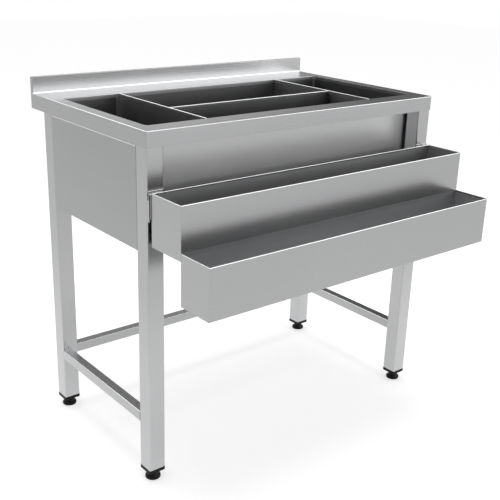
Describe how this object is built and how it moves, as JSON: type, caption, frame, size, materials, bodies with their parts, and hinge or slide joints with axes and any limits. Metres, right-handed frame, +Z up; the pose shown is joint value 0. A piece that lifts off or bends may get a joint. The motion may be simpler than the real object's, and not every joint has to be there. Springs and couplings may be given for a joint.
{
  "type": "waiter service station",
  "caption": "Stainless waiter service station with a divided well, low splashback, adjustable feet and a two-tier hang-on bottle rail",
  "frame": {"origin": "On the floor, at the middle of the footprint with the bottle rail hung", "axes": "+X to the right of a person standing at the front, +Y to the rear (splashback), +Z up"},
  "size_m": [0.92, 0.7748, 0.9115],
  "materials": {
    "satin_steel": "satin stainless sheet and tube, fine directional grain",
    "well_steel": "satin stainless sheet, darker inside the well",
    "zinc_steel": "dull plated steel",
    "black_plastic": "moulded black plastic, slightly glossy",
    "black_rubber": "dull black rubber"
  },
  "bodies": {
    "frame": {"worktop": "satin_steel", "well_tub": "well_steel", "leg_front_left": "satin_steel", "leg_front_right": "satin_steel", "leg_rear_left": "satin_steel", "leg_rear_right": "satin_steel", "leg_plug_front_left": "black_plastic", "leg_plug_front_right": "black_plastic", "leg_plug_rear_left": "black_plastic", "leg_plug_rear_right": "black_plastic", "side_panel_left": "satin_steel", "side_panel_right": "satin_steel", "stretcher_left": "satin_steel", "stretcher_right": "satin_steel", "stretcher_rear": "satin_steel", "hanger_bracket_left": "satin_steel", "hanger_bracket_right": "satin_steel", "rail_bumper_left": "black_rubber", "rail_bumper_right": "black_rubber", "drain_outlet": "zinc_steel", "drain_strainer": "satin_steel", "drain_nut": "zinc_steel"},
    "bottle_rail": {"upper_rail": "satin_steel", "lower_rail": "satin_steel", "rail_hook_left": "satin_steel", "rail_hook_right": "satin_steel"},
    "left_divider": {"divider_left": "well_steel"},
    "right_divider": {"divider_right": "well_steel"},
    "middle_divider": {"divider_middle": "well_steel"},
    "pad_front_left": {"foot_pad_front_left": "black_plastic"},
    "screw_front_left": {"foot_screw_front_left": "zinc_steel"},
    "pad_front_right": {"foot_pad_front_right": "black_plastic"},
    "screw_front_right": {"foot_screw_front_right": "zinc_steel"},
    "pad_rear_left": {"foot_pad_rear_left": "black_plastic"},
    "screw_rear_left": {"foot_screw_rear_left": "zinc_steel"},
    "pad_rear_right": {"foot_pad_rear_right": "black_plastic"},
    "screw_rear_right": {"foot_screw_rear_right": "zinc_steel"}
  },
  "joints": [
    {"name": "bottle_rail_lift", "type": "slide", "parent": "frame", "child": "bottle_rail", "axis": [0, 0, 1], "range_m": [0, 0.065]},
    {"name": "left_divider_lift", "type": "slide", "parent": "frame", "child": "left_divider", "axis": [0, 0, 1], "range_m": [0, 0.25]},
    {"name": "right_divider_lift", "type": "slide", "parent": "frame", "child": "right_divider", "axis": [0, 0, 1], "range_m": [0, 0.25]},
    {"name": "middle_divider_lift", "type": "slide", "parent": "frame", "child": "middle_divider", "axis": [0, 0, 1], "range_m": [0, 0.25]},
    {"name": "foot_travel_front_left", "type": "slide", "parent": "frame", "child": "pad_front_left", "axis": [0, 0, -1], "range_m": [0, 0.015]},
    {"name": "foot_screw_turn_front_left", "type": "hinge", "parent": "pad_front_left", "child": "screw_front_left", "pos_m": [-0.43705, -0.14165, 0.0333], "axis": [0, 0, -1], "range_deg": [0, 3600]},
    {"name": "foot_travel_front_right", "type": "slide", "parent": "frame", "child": "pad_front_right", "axis": [0, 0, -1], "range_m": [0, 0.015]},
    {"name": "foot_screw_turn_front_right", "type": "hinge", "parent": "pad_front_right", "child": "screw_front_right", "pos_m": [0.43705, -0.14165, 0.0333], "axis": [0, 0, -1], "range_deg": [0, 3600]},
    {"name": "foot_travel_rear_left", "type": "slide", "parent": "frame", "child": "pad_rear_left", "axis": [0, 0, -1], "range_m": [0, 0.015]},
    {"name": "foot_screw_turn_rear_left", "type": "hinge", "parent": "pad_rear_left", "child": "screw_rear_left", "pos_m": [-0.43705, 0.29735, 0.0333], "axis": [0, 0, -1], "range_deg": [0, 3600]},
    {"name": "foot_travel_rear_right", "type": "slide", "parent": "frame", "child": "pad_rear_right", "axis": [0, 0, -1], "range_m": [0, 0.015]},
    {"name": "foot_screw_turn_rear_right", "type": "hinge", "parent": "pad_rear_right", "child": "screw_rear_right", "pos_m": [0.43705, 0.29735, 0.0333], "axis": [0, 0, -1], "range_deg": [0, 3600]}
  ],
  "couplings": [
    {"joint": "foot_screw_turn_front_left", "follows": "foot_travel_front_left", "rad_per_m": 4188.8},
    {"joint": "foot_screw_turn_front_right", "follows": "foot_travel_front_right", "rad_per_m": 4188.8},
    {"joint": "foot_screw_turn_rear_left", "follows": "foot_travel_rear_left", "rad_per_m": 4188.8},
    {"joint": "foot_screw_turn_rear_right", "follows": "foot_travel_rear_right", "rad_per_m": 4188.8}
  ]
}
